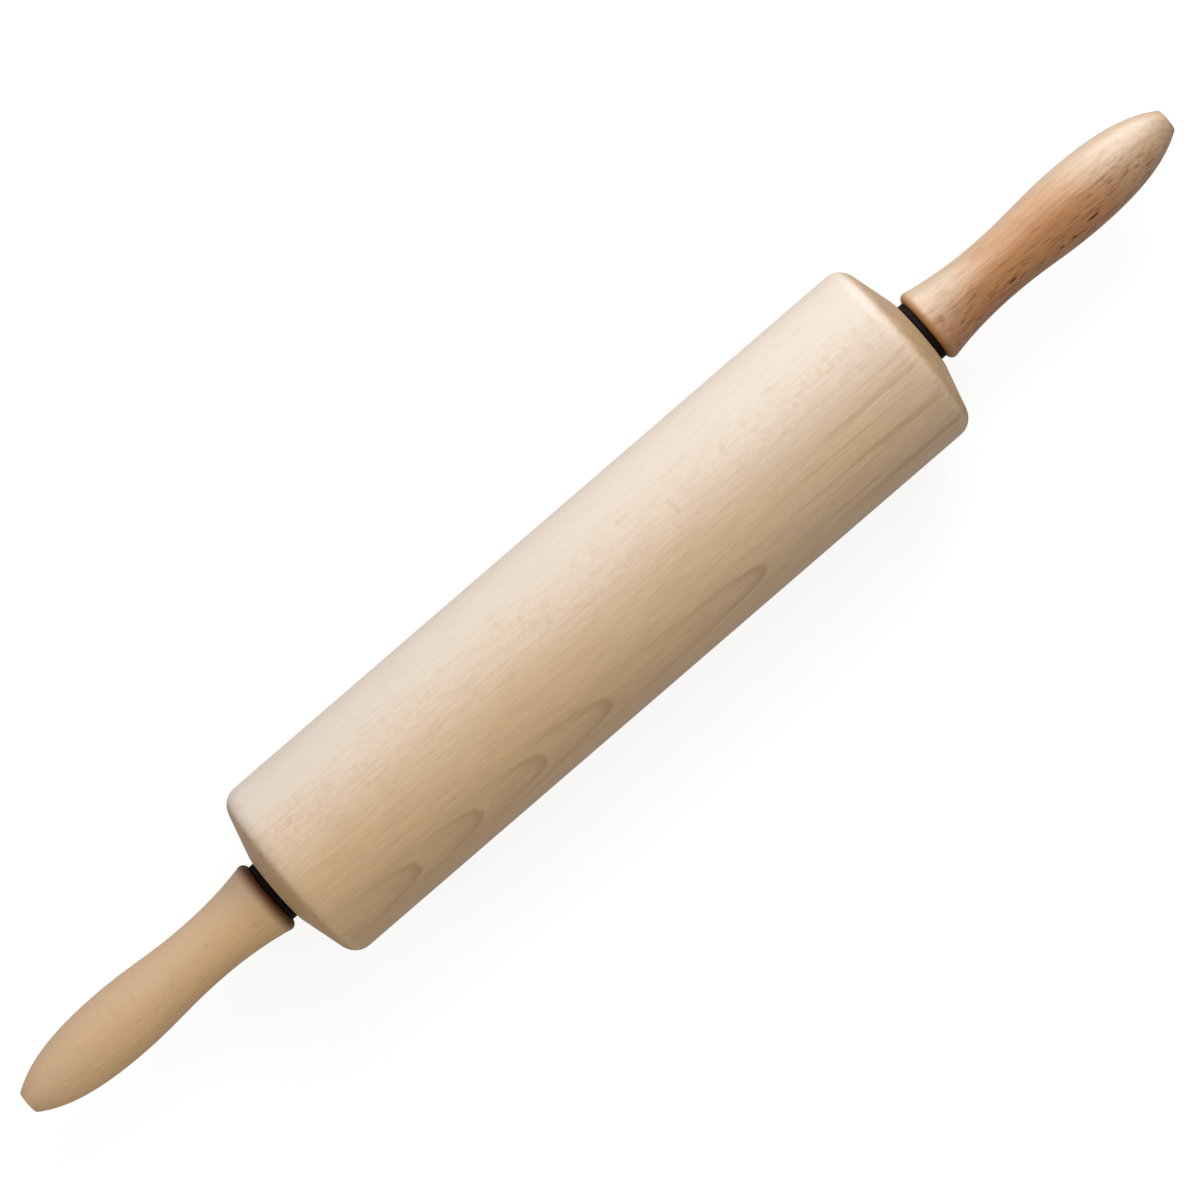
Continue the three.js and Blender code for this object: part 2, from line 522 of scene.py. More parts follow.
@dataclass
class Surface:
    """A wooden surface while its figure is laid on, layer by layer.

    Attributes:
        spot: The shaded point.
        colour: The colour so far.
        height: The height so far, from 0 to 1.
        roughness: What the figure has added to the roughness so far.
        pits: Where the wax has come out of the wood, from 0 to 1.
    """

    spot: Spot
    colour: Signal
    height: Number = 0.5
    roughness: Number = 0.0
    pits: Number = 0.0

    def stain(self, mask: Signal, colour: Signal | Colour) -> None:
        """Mixes in another colour as far as a mask says."""
        self.colour = self.spot.sheet.mix(mask, self.colour, colour)

    def pit(self, mask: Signal) -> None:
        """Takes the wax off where a mask says."""
        self.pits = self.spot.sheet.math("MAXIMUM", mask, self.pits)


class Layer(Protocol):
    """One layer of the wood's figure."""

    def lay(self, surface: Surface) -> None:
        """Lays it on a surface."""


@dataclass(frozen=True)
class Grain:
    """Growth rings, fibres and pores, as fine dark lines.

    Attributes:
        colour: Their colour.
        strength: How much they stand out.
        level: How much of their colour lies between them.
        pale_share: How strong they are on the pale side, where painted sheen partly washes them out.
        ring_strength: How strong the growth rings are beside the fibres.
        ring_pitch: How many growth rings there are to a millimetre.
        ring_edge: The noise at which patches with growth rings start and are full.
        curl_gain: How much stronger curled fibres are.
        pore_share: How strong the pores are beside the fibres.
        fibre_height: How high the fibres stand beside the pores.
        pore_roughness: How much rougher the pores are.
    """

    colour: Colour
    strength: float = 1.0
    level: float = 0.22
    pale_share: float = 0.3
    ring_strength: float = 0.6
    ring_pitch: float = 1.3
    ring_edge: Point = (-0.15, 0.2)
    curl_gain: float = 0.08
    pore_share: float = 0.35
    fibre_height: float = 0.5
    pore_roughness: float = 0.15

    def lay(self, surface: Surface) -> None:
        """Lays the lines on a surface.

        Args:
            surface: The surface.
        """
        spot = surface.spot
        sheet = spot.sheet
        patches = sheet.smooth(RING_PATCHES.at(spot.place), *self.ring_edge)
        rings = sheet.noise_along(spot.ring * self.ring_pitch) * patches * self.ring_strength
        fibres = FIBRES.at(spot.swayed)
        pores = PORES.at(spot.swayed)
        lines = rings + fibres * (spot.curl * self.curl_gain + 1.0) + pores * self.pore_share
        # The lines stay faint on the pale side, partly as quiet quarter-sawn figure and partly as painted
        # sheen that washes them out.
        mask = lines * spot.warmth.lifted(self.pale_share) * self.strength + self.level
        surface.stain(mask, self.colour)
        surface.height = pores + fibres * self.fibre_height + surface.height
        surface.roughness = pores * self.pore_roughness + surface.roughness


@dataclass(frozen=True)
class Streaks:
    """Dark streaks along the warm side of one end.

    Attributes:
        colour: Their colour.
        strength: How much they stand out.
        width: How wide they are.
        span: Where they start along X, and where they are full.
        edge: The noise at which a streak starts and is full.
        length_share: How many of them there are to a millimetre along X.
    """

    colour: Colour
    strength: float
    width: float
    span: Point
    edge: Point = (0.03, 0.2)
    length_share: float = 0.012

    def lay(self, surface: Surface) -> None:
        """Lays the streaks on a surface.

        Args:
            surface: The surface.
        """
        spot = surface.spot
        sheet = spot.sheet
        noise = Pattern(self.length_share, 1 / self.width, 1.0).at(spot.swayed)
        streaks = sheet.smooth(noise, *self.edge) * sheet.smooth(spot.x, *self.span) * spot.warmth
        surface.stain(streaks * self.strength, self.colour)


@dataclass(frozen=True)
class Arch:
    """One growth ring that the flat-sawn side cuts into a blunt arch.

    Attributes:
        tip: Where its tip lies along X.
        bend: How fast it bends back from there.
    """

    tip: float
    bend: float


@dataclass(frozen=True)
class Arches:
    """Late wood of the growth rings that the flat-sawn side cuts into arches, reversed on the far side.

    Attributes:
        colour: Its colour.
        arches: The arches.
        strength: How much they stand out.
        edge: How softly a line starts outside its arch, ends inside it, and shades off behind.
        shade_share: How strong that shade is.
        flank_width: How much wider the lines are on an arch's flanks.
        reach: How far across the flat-sawn side they reach.
        core: How far across they are at their strongest.
        raggedness: How ragged they are.
    """

    colour: Colour
    arches: tuple[Arch, ...]
    strength: float = 0.5
    edge: Triple = (1.5, 5.0, 14.0)
    shade_share: float = 0.35
    flank_width: float = 0.3
    reach: float = 10.5
    core: float = 1.0
    raggedness: float = 3.0

    def lay(self, surface: Surface) -> None:
        """Lays the arches on a surface.

        Args:
            surface: The surface.
        """
        spot = surface.spot
        sheet = spot.sheet
        ragged = RAGGED_EDGE.at(spot.place) * self.raggedness
        along = spot.x * sheet.math("SIGN", spot.outward) + ragged
        lines = [self._line(arch, along, spot.across) for arch in self.arches]
        nearest = reduce(lambda one, other: sheet.math("MAXIMUM", one, other), lines)
        arches = nearest * sheet.smooth(abs(spot.across), self.reach, self.core)
        surface.stain(arches * self.strength, self.colour)

    def _line(self, arch: Arch, along: Signal, across: Signal) -> Signal:
        """Draws one arch.

        Args:
            arch: The arch.
            along: The place along X.
            across: The distance from the middle of the flat-sawn side.

        Returns:
            A mask of its line and the shade behind it.
        """
        sheet = along.sheet
        outside, inside, shade = self.edge
        square = across * across
        curve = abs(square * across) * arch.bend
        flank = square * (3 * arch.bend * self.flank_width) + 1.0
        behind = (arch.tip - along - curve) / flank
        line = sheet.smooth(behind, inside, 0.0) * (1.0 - self.shade_share)
        fade = line + sheet.smooth(behind, shade, 0.0) * self.shade_share
        return sheet.smooth(behind, -outside, 0.0) * fade


@dataclass(frozen=True)
class Rays:
    """Wood rays: thin ribbons that run out from the pith.

    Attributes:
        height: Their spacing along X.
        width: Their spacing round the pith.
        reach: Their spacing away from the pith.
        share: The share of them that shows.
        edge: How far from its middle a ray ends, and how far it is full, as shares of the spacing.
    """

    height: float
    width: float
    reach: float
    share: float = 0.6
    edge: Point = (0.5, 0.15)

    def mask(self, along: Signal, girth: Signal, ring: Signal) -> Signal:
        """Finds what the surface cuts of the rays.

        Args:
            along: The place along X.
            girth: The distance round the pith.
            ring: The distance from the pith.

        Returns:
            A mask of flecks and flakes.
        """
        sheet = along.sheet
        cell = sheet.vector(along / self.height, girth / self.width, ring / self.reach)
        distance, chance = sheet.cells(cell)
        return sheet.smooth(distance, *self.edge) * sheet.smooth(chance, 1.0 - self.share, 1.0)


@dataclass(frozen=True)
class Flecks:
    """Short ray flecks all over the wood.

    Attributes:
        colour: Their colour.
        strength: How much they stand out.
        rays: The rays that they are cut from.
        pale_share: How strong they are on the pale side, where painted sheen partly washes them out.
        depth: How deep they lie.
        roughness: How much rougher they are.
    """

    colour: Colour
    strength: float = 0.3
    rays: Rays = Rays(6.0, 0.8, 8.0)
    pale_share: float = 0.4
    depth: float = 0.4
    roughness: float = 0.08

    def lay(self, surface: Surface) -> None:
        """Lays the flecks on a surface.

        Args:
            surface: The surface.
        """
        spot = surface.spot
        cut = self.rays.mask(spot.x, spot.girth + spot.wave, spot.ring)
        # Faint on the pale side, partly as real figure and partly as painted sheen that washes them out.
        flecks = cut * spot.warmth.lifted(self.pale_share)
        surface.stain(flecks * self.strength, self.colour)
        surface.height = surface.height - flecks * self.depth
        surface.roughness = surface.roughness + flecks * self.roughness


@dataclass(frozen=True)
class Flakes:
    """Broad ray flakes in the band of curly wood.

    Attributes:
        colour: Their colour.
        strength: How much they stand out.
        rays: The rays that they are cut from.
    """

    colour: Colour
    strength: float
    rays: Rays = Rays(3.0, 2.6, 9.0)

    def lay(self, surface: Surface) -> None:
        """Lays the flakes on a surface.

        Args:
            surface: The surface.
        """
        spot = surface.spot
        flakes = spot.band * self.rays.mask(spot.x + spot.wave, spot.girth, spot.ring + spot.wave)
        surface.stain(flakes * self.strength, self.colour)
        surface.height = surface.height - flakes


@dataclass(frozen=True)
class Dashes:
    """Short uneven dashes along the grain, in two sizes.

    Attributes:
        colour: Their colour.
        span: How far outward they start, and where they are full.
        floor: How strong they are elsewhere.
        coarse_edge: The noise at which a coarse dash starts and is full.
        coarse_share: How strong the coarse dashes are.
        fine_edge: The noise at which a fine dash starts and is full.
        fine_share: How strong the fine dashes are.
        wave_share: How far they wander beside the rays.
        depth: How deep they lie.
        bareness: How much of the wax is off them.
    """

    colour: Colour
    span: Point
    floor: float = 0.15
    coarse_edge: Point = (0.03, 0.17)
    coarse_share: float = 0.75
    fine_edge: Point = (0.05, 0.2)
    fine_share: float = 0.4
    wave_share: float = 0.3
    depth: float = 0.3
    bareness: float = 0.6

    def lay(self, surface: Surface) -> None:
        """Lays the dashes on a surface.

        Args:
            surface: The surface.
        """
        spot = surface.spot
        sheet = spot.sheet
        x, y, z = spot.place
        wander = spot.wave * self.wave_share
        place = (x, y + wander, z + wander)
        coarse = sheet.smooth(COARSE_DASHES.at(place), *self.coarse_edge) * self.coarse_share
        fine = sheet.smooth(FINE_DASHES.at(place), *self.fine_edge) * self.fine_share
        dashes = sheet.smooth(spot.outward, *self.span).lifted(self.floor) * (coarse + fine)
        surface.stain(dashes, self.colour)
        surface.height = surface.height - dashes * self.depth
        surface.pit(dashes * self.bareness)


@dataclass(frozen=True)
class EndGrain:
    """Wood cut across: year rings round the pith and fine rays out from it.

    Attributes:
        colour: Its colour.
        span: How far a surface faces along X where it starts to show, and where it is full.
        strength: How much it stands out.
        light: How much lighter its early wood is.
        deep: How much darker its late wood is.
        year_pitch: How many years there are to a millimetre.
        ray_pitch: How many rays there are to a millimetre round the pith.
        ray_length: How many there are to a millimetre away from it.
        ray_detail: How many times finer rays are added.
        year_share: How strong the years are.
        ray_share: How strong the rays are.
        level: How much late wood lies between them.
    """

    colour: Colour
    span: Point = (0.25, 0.9)
    strength: float = 0.9
    light: float = 1.18
    deep: float = 0.66
    year_pitch: float = 0.55
    ray_pitch: float = 1.4
    ray_length: float = 0.12
    ray_detail: float = 2.0
    year_share: float = 1.5
    ray_share: float = 1.1
    level: float = 0.38

    def lay(self, surface: Surface) -> None:
        """Lays the end grain on a surface.

        Args:
            surface: The surface.
        """
        spot = surface.spot
        sheet = spot.sheet
        years = sheet.noise_along(spot.ring * self.year_pitch)
        fan = sheet.vector(spot.girth * self.ray_pitch, spot.ring * self.ray_length, 0.0)
        rays = sheet.noise(fan, self.ray_detail)
        late = years * self.year_share + rays * self.ray_share + self.level
        cut = sheet.mix(late, shaded(self.colour, self.light), shaded(self.colour, self.deep))
        surface.stain(sheet.smooth(sheet.facing_along(), *self.span) * self.strength, cut)


@dataclass(frozen=True)
class RimShade:
    """Painted shade on the rim of a handle beside its collar, where the roller's end shades it: dark on the
    left handle as the roller's shadow, orange on the right handle as warm light bounced off the roller.

    Attributes:
        colour: Its colour.
        width: How wide it is.
        strength: How much it stands out.
        place: How far along X it starts.
        core: How wide it is at its darkest.
    """

    colour: Colour
    width: float
    strength: float
    place: float
    core: float = 0.5

    def lay(self, surface: Surface) -> None:
        """Lays the painted rim shade on a surface.

        Args:
            surface: The surface.
        """
        spot = surface.spot
        # Painted shade: full at the collar, fading out along the handle.
        rim = spot.sheet.smooth(abs(spot.x), self.place + self.width, self.place + self.core)
        surface.stain(rim * self.strength, self.colour)


@dataclass(frozen=True)
class PinMark:
    """One dark dash in the wood, where a thin twig was cut across.

    Attributes:
        place: Its middle.
        half_length: Half its length along X.
        half_width: Half its width.
        colour: Its colour.
        core: The squared share of its size that is fully dark.
    """

    place: Triple
    half_length: float
    half_width: float
    colour: Colour = (0.13, 0.034, 0.008)
    core: float = 0.25

    def lay(self, surface: Surface) -> None:
        """Lays the mark on a surface.

        Args:
            surface: The surface.
        """
        spot = surface.spot
        spans = (self.half_length, self.half_width, self.half_width)
        x, y, z = ((at - middle) / span for at, middle, span in zip(spot.place, self.place, spans))
        mask = spot.sheet.smooth(x * x + y * y + z * z, 1.0, self.core)
        surface.stain(mask, self.colour)
        surface.pit(mask)


@dataclass(frozen=True)
class Beech:
    """Beech from one board.

    Attributes:
        name: The material's name.
        pale: The colour of its pale side, which faces the lamps: partly wood tone and partly painted sheen,
            and painted shade on the left handle.
        warm: The colour of its warm side.
        board: How the piece lies in the board.
        layers: Its figure, in the order in which it is laid on.
        roughness: Its roughness.
        coat: How much wax it has.
        coat_roughness: The wax's roughness.
        pit_roughness: How much rougher it is where the wax is off.
        grain_depth: The depth of its grain, in metres.
    """

    name: str
    pale: Colour
    warm: Colour
    board: Board
    layers: tuple[Layer, ...]
    roughness: float = 0.5
    coat: float = 0.0
    coat_roughness: float = 0.3
    pit_roughness: float = 0.25
    grain_depth: float = 0.02 * MM

    def material(self) -> bpy.types.Material:
        """Builds the wood.

        Returns:
            The material, solid through the piece.
        """
        sheet = NodeSheet(self.name)
        spot = self.board.spot(sheet)
        # The pale side carries painted sheen, and on the left handle painted shade.
        surface = Surface(spot, sheet.mix(spot.warmth, self.pale, self.warm))
        for layer in self.layers:
            layer.lay(surface)
        return sheet.principled(
            Base_Color=surface.colour,
            Roughness=surface.roughness + surface.pits * self.pit_roughness + self.roughness,
            Coat_Weight=(1.0 - surface.pits) * self.coat,
            Coat_Roughness=self.coat_roughness,
            Normal=sheet.bump(surface.height, self.grain_depth),
        )


@dataclass(frozen=True)
class Metal:
    """Turned or polished steel, with fine marks round the axle.

    Attributes:
        name: The material's name.
        colour: Its colour.
        roughness: Its roughness.
        mark_pitch: The spacing of its lathe marks.
        shade: How much darker its smears are.
        smear_roughness: How much rougher they are.
        mark_roughness: How much rougher the lathe marks are.
        mark_depth: How deep those are, in metres.
    """

    name: str
    colour: Colour
    roughness: float
    mark_pitch: float = 0.12
    shade: float = 0.72
    smear_roughness: float = 0.2
    mark_roughness: float = 0.1
    mark_depth: float = 0.004 * MM

    def material(self) -> bpy.types.Material:
        """Builds the steel.

        Returns:
            The material.
        """
        sheet = NodeSheet(self.name)
        place = sheet.place()
        marks = sheet.noise_along(place[0] / self.mark_pitch)
        smears = STEEL_SMEARS.at(place)
        return sheet.principled(
            Base_Color=sheet.mix(smears + 0.5, self.colour, shaded(self.colour, self.shade)),
            Metallic=1.0,
            Roughness=smears * self.smear_roughness + marks * self.mark_roughness + self.roughness,
            Normal=sheet.bump(marks + 0.5, self.mark_depth),
        )


@dataclass(frozen=True)
class Polymer:
    """Nylon or rubber, with a fine moulded grain and turned rings.

    Attributes:
        name: The material's name.
        colour: Its colour.
        worn: Its colour where it is worn.
        roughness: Its roughness.
        gloss: How strongly it reflects.
        ring_pitch: The spacing of its turned rings.
        ring_share: How much the rings are worn beside the grain.
        wear: How worn it is between them.
        grain_roughness: How much rougher the grain is.
        grain_height: How high the grain stands beside the rings.
        depth: How deep both are, in metres.
    """

    name: str
    colour: Colour
    worn: Colour
    roughness: float
    gloss: float = 0.5
    ring_pitch: float = 0.25
    ring_share: float = 0.5
    wear: float = 0.4
    grain_roughness: float = 0.2
    grain_height: float = 0.4
    depth: float = 0.02 * MM

    def material(self) -> bpy.types.Material:
        """Builds the plastic.

        Returns:
            The material.
        """
        sheet = NodeSheet(self.name)
        place = sheet.place()
        _, y, z = place
        radius = sheet.math("SQRT", y * y + z * z)
        rings = sheet.noise_along(radius / self.ring_pitch)
        grain = MOULD_GRAIN.at(place)
        return sheet.principled(
            Base_Color=sheet.mix(grain + rings * self.ring_share + self.wear, self.colour, self.worn),
            Roughness=grain * self.grain_roughness + self.roughness,
            Specular_IOR_Level=self.gloss,
            Normal=sheet.bump(rings + grain * self.grain_height + 0.5, self.depth),
        )


@dataclass
class Outline:
    """A lathe outline: points of distance along X and radius."""

    points: list[Point] = field(default_factory=list)

    def to(self, along: float, radius: float, parts: int = 1) -> "Outline":
        """Adds a straight run.

        Args:
            along: Where the run ends along X.
            radius: Its radius there.
            parts: How many equal parts it has.

        Returns:
            The outline itself.
        """
        start = self.points[-1] if self.points else (along, radius)
        for step in range(1, parts + 1):
            share = step / parts
            at = start[0] + (along - start[0]) * share
            self.points.append((at, start[1] + (radius - start[1]) * share))
        return self

    def arc(self, centre: Point, radius: float, start: float, end: float, parts: int) -> "Outline":
        """Adds a circular arc.

        Args:
            centre: Its centre.
            radius: Its radius.
            start: Its first angle from the direction of X, in degrees.
            end: Its last angle.
            parts: How many parts it has.

        Returns:
            The outline itself.
        """
        for step in range(parts + 1):
            turn = math.radians(start + (end - start) * step / parts)
            self.points.append((centre[0] + radius * math.cos(turn), centre[1] + radius * math.sin(turn)))
        return self

    def curve(self, controls: list[Point], parts: int) -> "Outline":
        """Adds a Bezier curve of any degree.

        Args:
            controls: Its control points, from its start to its end.
            parts: How many parts it has.

        Returns:
            The outline itself.
        """
        for step in range(1, parts + 1):
            share = step / parts
            level = controls
            while len(level) > 1:
                level = [tuple(a + (b - a) * share for a, b in zip(p, q)) for p, q in pairwise(level)]
            self.points.append(level[0])
        return self

    def mirrored(self) -> list[Point]:
        """The points on the other side of the middle, in the opposite order."""
        return [(-along, radius) for along, radius in reversed(self.points)]

    def facing(self, side: Side) -> "Outline":
        """The outline as it lies at that end of the pin."""
        return Outline([(side.value * along, radius) for along, radius in self.points])

    def moved(self, along: float) -> "Outline":
        """The outline shifted along X."""
        return Outline([(along + at, radius) for at, radius in self.points])

    def ring(self) -> "Outline":
        """A half outline with its mirror image, closed on itself."""
        return Outline([*self.points, *self.mirrored(), self.points[0]])

    def rod(self) -> "Outline":
        """A half outline that ends on the axle, with its mirror image."""
        return Outline([*self.mirrored(), *self.points])


def turned(name: str, outline: Outline, steps: int) -> bpy.types.Object:
    """Turns an outline about the axle, as on a lathe.

    Args:
        name: The piece's name.
        outline: An outline that ends on the axle or closes on itself.
        steps: How many faces it has round the axle.

    Returns:
        The piece, with its place in its mesh.
    """
    along, radius = outline.points[0]
    bpy.ops.object.select_all(action="DESELECT")
    bpy.ops.mesh.primitive_plane_add(size=SEED_SIZE, location=(along, 0.0, radius))
    piece = bpy.context.active_object
    piece.name = name
    piece.data.name = name
    bpy.ops.object.transform_apply(location=True, rotation=True, scale=True)
    bpy.ops.object.mode_set(mode="EDIT")
    bpy.ops.mesh.merge(type="CENTER")
    for before, after in pairwise(outline.points):
        step = (after[0] - before[0], 0.0, after[1] - before[1])
        if Vector(step).length > WELD:
            bpy.ops.mesh.extrude_region_move(TRANSFORM_OT_translate={"value": step})
    bpy.ops.mesh.select_all(action="SELECT")
    bpy.ops.mesh.spin(steps=steps, angle=2 * math.pi, center=(0.0, 0.0, 0.0), axis=(1.0, 0.0, 0.0))
    bpy.ops.mesh.select_all(action="SELECT")
    bpy.ops.mesh.remove_doubles(threshold=WELD)
    bpy.ops.mesh.normals_make_consistent(inside=False)
    bpy.ops.object.mode_set(mode="OBJECT")
    bpy.ops.object.shade_smooth_by_angle(angle=SMOOTH_ANGLE)
    return piece


def pick(piece: bpy.types.Object) -> None:
    """Selects one piece and nothing else.

    Args:
        piece: The piece.
    """
    bpy.ops.object.select_all(action="DESELECT")
    piece.select_set(True)
    bpy.context.view_layer.objects.active = piece


def copied(piece: bpy.types.Object, name: str) -> bpy.types.Object:
    """Copies a piece with its mesh.

    Args:
        piece: The piece.
        name: The copy's name.

    Returns:
        The copy.
    """
    pick(piece)
    bpy.ops.object.duplicate()
    copy = bpy.context.active_object
    copy.name = name
    copy.data.name = name
    return copy


def shift(piece: bpy.types.Object, offset: Vector) -> None:
    """Moves a piece's mesh and leaves its origin where it is.

    Args:
        piece: The piece.
        offset: How far to move it.
    """
    pick(piece)
    bpy.ops.object.mode_set(mode="EDIT")
    bpy.ops.mesh.select_all(action="SELECT")
    bpy.ops.transform.translate(value=offset)
    bpy.ops.object.mode_set(mode="OBJECT")


def dress(piece: bpy.types.Object, material: bpy.types.Material, body: Body, node: str) -> None:
    """Finishes a new piece that stands for a CAD node.

    Args:
        piece: The piece.
        material: Its finish.
        body: The body that it moves with.
        node: The CAD node that it replaces.
    """
    piece.data.materials.clear()
    piece.data.materials.append(material)
    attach(piece, body.value)
    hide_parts(node)
    log.info("%s stands for %s: %d faces", piece.name, node, len(piece.data.polygons))


def finish_node(node: str, material: bpy.types.Material) -> None:
    """Gives a CAD node that stays in sight its finish.

    Args:
        node: The node's name.
        material: Its finish.
    """
    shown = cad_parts[node]
    if not shown.material_slots:
        shown.data.materials.append(material)
    for holder in shown.material_slots:
        holder.material = material
    log.info("%s keeps its CAD shape", node)


def half_span(node: str, axis: int) -> float:
    """Half a CAD node's size along one axis."""
    low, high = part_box(node)
    return (high[axis] - low[axis]) / 2


def middle_of(node: str) -> Vector:
    """The middle of a CAD node's box."""
    low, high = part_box(node)
    return (low + high) / 2


def reach_along(node: str) -> Point:
    """A CAD node's nearest and farthest distance along X from the pin's middle."""
    low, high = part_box(node)
    return tuple(sorted((abs(low[0]), abs(high[0]))))


@dataclass
class Barrel:
    """The turned roller, with shallow cone ends, a bore and two bearing seats."""

    length: float = 2 * half_span("barrel", 0)
    radius: float = half_span("barrel", 2)
    cone_angle: float = 16.0
    edge_radius: float = 6.0 * MM
    face_radius: float = 12.6 * MM
    seat_radius: float = 9.6 * MM
    seat_depth: float = 7.1 * MM
    bore_radius: float = 6.9 * MM
    mouth_round: float = 0.3 * MM
    side_parts: int = 24
    edge_parts: int = 12
    cone_parts: int = 10
    mouth_parts: int = 4
    steps: int = 256

    def outline(self) -> Outline:
        """Draws one half of the roller.

        Returns:
            Its outline, from its middle outside to its middle inside.
        """
        end = self.length / 2
        slope = math.radians(self.cone_angle)
        edge_centre = self.radius - self.edge_radius
        run = math.sin(slope) * (self.face_radius - edge_centre) - self.edge_radius
        edge_along = end + run / math.cos(slope)
        mouth = self.seat_radius + self.mouth_round
        half = Outline([(0.0, self.radius)]).to(edge_along, self.radius, self.side_parts)
        half.arc((edge_along, edge_centre), self.edge_radius, 90, self.cone_angle, self.edge_parts)
        half.to(end, self.face_radius, self.cone_parts)
        half.to(end, mouth)
        half.arc((end - self.mouth_round, mouth), self.mouth_round, 0, -90, self.mouth_parts)
        half.to(end - self.seat_depth, self.seat_radius)
        half.to(end - self.seat_depth, self.bore_radius)
        half.to(0.0, self.bore_radius)
        return half

    def build(self, wood: bpy.types.Material) -> None:
        """Makes the roller and dresses it."""
        piece = turned("barrel_roller", self.outline().ring(), self.steps)
        dress(piece, wood, Body.BARREL, "barrel")


@dataclass
class Handle:
    """One turned handle: a rim, a neck, a belly and a blunt tip, with a blind hole for the axle."""

    side: Side
    rim_round: float = 2.0 * MM
    neck_radius: float = 9.5 * MM
    belly_radius: float = 11.05 * MM
    tip_radius: float = 3.5 * MM
    tip_round: float = 0.5 * MM
    tip_fullness: float = 0.4
    flare_length: float = 26 * MM
    swell_length: float = 32 * MM
    swell_ease: float = 0.42
    nose_fullness: float = 0.46
    nose_drop: Point = (0.23, 0.71)
    hole_radius: float = 4.1 * MM
    hole_depth: float = 57 * MM
    face_parts: int = 4
    rim_parts: int = 10
    flare_parts: int = 20
    swell_parts: int = 24
    nose_parts: int = 28
    tip_parts: int = 6
    end_parts: int = 3
    steps: int = 128

    @property
    def node(self) -> str:
        """The CAD node that this handle stands for."""
        return f"handle_{self.side.label}"

    def outline(self) -> Outline:
        """Draws the handle.

        Returns:
            Its outline, from its rim, at 0, to its tip.
        """
        length = 2 * half_span(self.node, 0)
        rim = half_span(self.node, 2)
        start = (self.rim_round, rim)
        neck = (self.flare_length, self.neck_radius)
        belly = (self.flare_length + self.swell_length, self.belly_radius)
        tip = (length - self.tip_round, self.tip_radius + self.tip_round)
        ease = self.swell_ease * self.swell_length
        nose = length - belly[0]
        drop = self.nose_drop[1] * (self.belly_radius - self.tip_radius)
        cheek = (belly[0] + self.nose_fullness * nose, belly[1])
        shoulder = (length - self.nose_drop[0] * nose, self.tip_radius + drop)
        corner = (length, self.tip_radius + self.tip_fullness * self.tip_round)

        shape = Outline([(self.hole_depth, 0.0)]).to(self.hole_depth, self.hole_radius)
        shape.to(0.0, self.hole_radius)
        shape.to(0.0, rim - self.rim_round, self.face_parts)
        shape.arc((self.rim_round, rim - self.rim_round), self.rim_round, 180, 90, self.rim_parts)
        shape.curve([start, (self.flare_length / 2, neck[1]), neck], self.flare_parts)
        shape.curve([neck, (neck[0] + ease, neck[1]), (belly[0] - ease, belly[1]), belly], self.swell_parts)
        shape.curve([belly, cheek, shoulder, tip], self.nose_parts)
        shape.curve([tip, corner, (length, self.tip_radius)], self.tip_parts)
        shape.to(length, 0.0, self.end_parts)
        return shape

    def build(self, wood: bpy.types.Material) -> None:
        """Makes the handle and dresses it.

        Args:
            wood: Its finish.
        """
        base, _ = reach_along(self.node)
        piece = turned(f"{self.node}_grip", self.outline().moved(base).facing(self.side), self.steps)
        dress(piece, wood, Body.AXLE, self.node)


@dataclass
class DustCollar:
    """The black nylon collar between a handle and the roller."""

    side: Side
    flange_thickness: float = 1.8 * MM
    boss_radius: float = 5.9 * MM
    hole_radius: float = 4.1 * MM
    edge_round: float = 0.3 * MM
    edge_parts: int = 4
    steps: int = 96

    @property
    def node(self) -> str:
        """The CAD node that this collar stands for."""
        return f"dust_collar_{self.side.label}"

    def outline(self) -> Outline:
        """Draws the collar.

        Returns:
            Its outline, with its boss towards the bearing.
        """
        inner, outer = reach_along(self.node)
        flange = outer - self.flange_thickness
        rim = half_span(self.node, 2) - self.edge_round
        shape = Outline([(inner, self.boss_radius)]).to(flange, self.boss_radius)
        shape.to(flange, rim)
        shape.arc((flange + self.edge_round, rim), self.edge_round, 180, 90, self.edge_parts)
        shape.arc((outer - self.edge_round, rim), self.edge_round, 90, 0, self.edge_parts)
        shape.to(outer, self.hole_radius)
        shape.to(inner, self.hole_radius)
        shape.to(inner, self.boss_radius)
        return shape

    def build(self, nylon: bpy.types.Material) -> None:
        """Makes the collar and dresses it."""
        piece = turned(f"{self.node}_ring", self.outline().facing(self.side), self.steps)
        dress(piece, nylon, Body.AXLE, self.node)


@dataclass
class Axle:
    """The steel rod through the pin, with glue grooves near its ends."""

    radius: float = half_span("axle_rod", 2)
    half_length: float = half_span("axle_rod", 0)
    chamfer: float = 0.8 * MM
    groove_count: int = 2
    groove_pitch: float = 16 * MM
    groove_width: float = 2 * MM
    groove_depth: float = 0.4 * MM
    steps: int = 64

    def outline(self) -> Outline:
        """Draws one half of the rod.

        Returns:
            Its outline, from the middle to the end.
        """
        half = Outline([(0.0, self.radius)])
        for groove in range(self.groove_count, 0, -1):
            start = self.half_length - groove * self.groove_pitch
            half.to(start, self.radius)
            half.to(start, self.radius - self.groove_depth)
            half.to(start + self.groove_width, self.radius - self.groove_depth)
            half.to(start + self.groove_width, self.radius)
        half.to(self.half_length - self.chamfer, self.radius)
        half.to(self.half_length, self.radius - self.chamfer)
        half.to(self.half_length, 0.0)
        return half

    def build(self, steel: bpy.types.Material) -> None:
        """Makes the rod and dresses it."""
        piece = turned("axle_rod_steel", self.outline().rod(), self.steps)
        dress(piece, steel, Body.AXLE, "axle_rod")


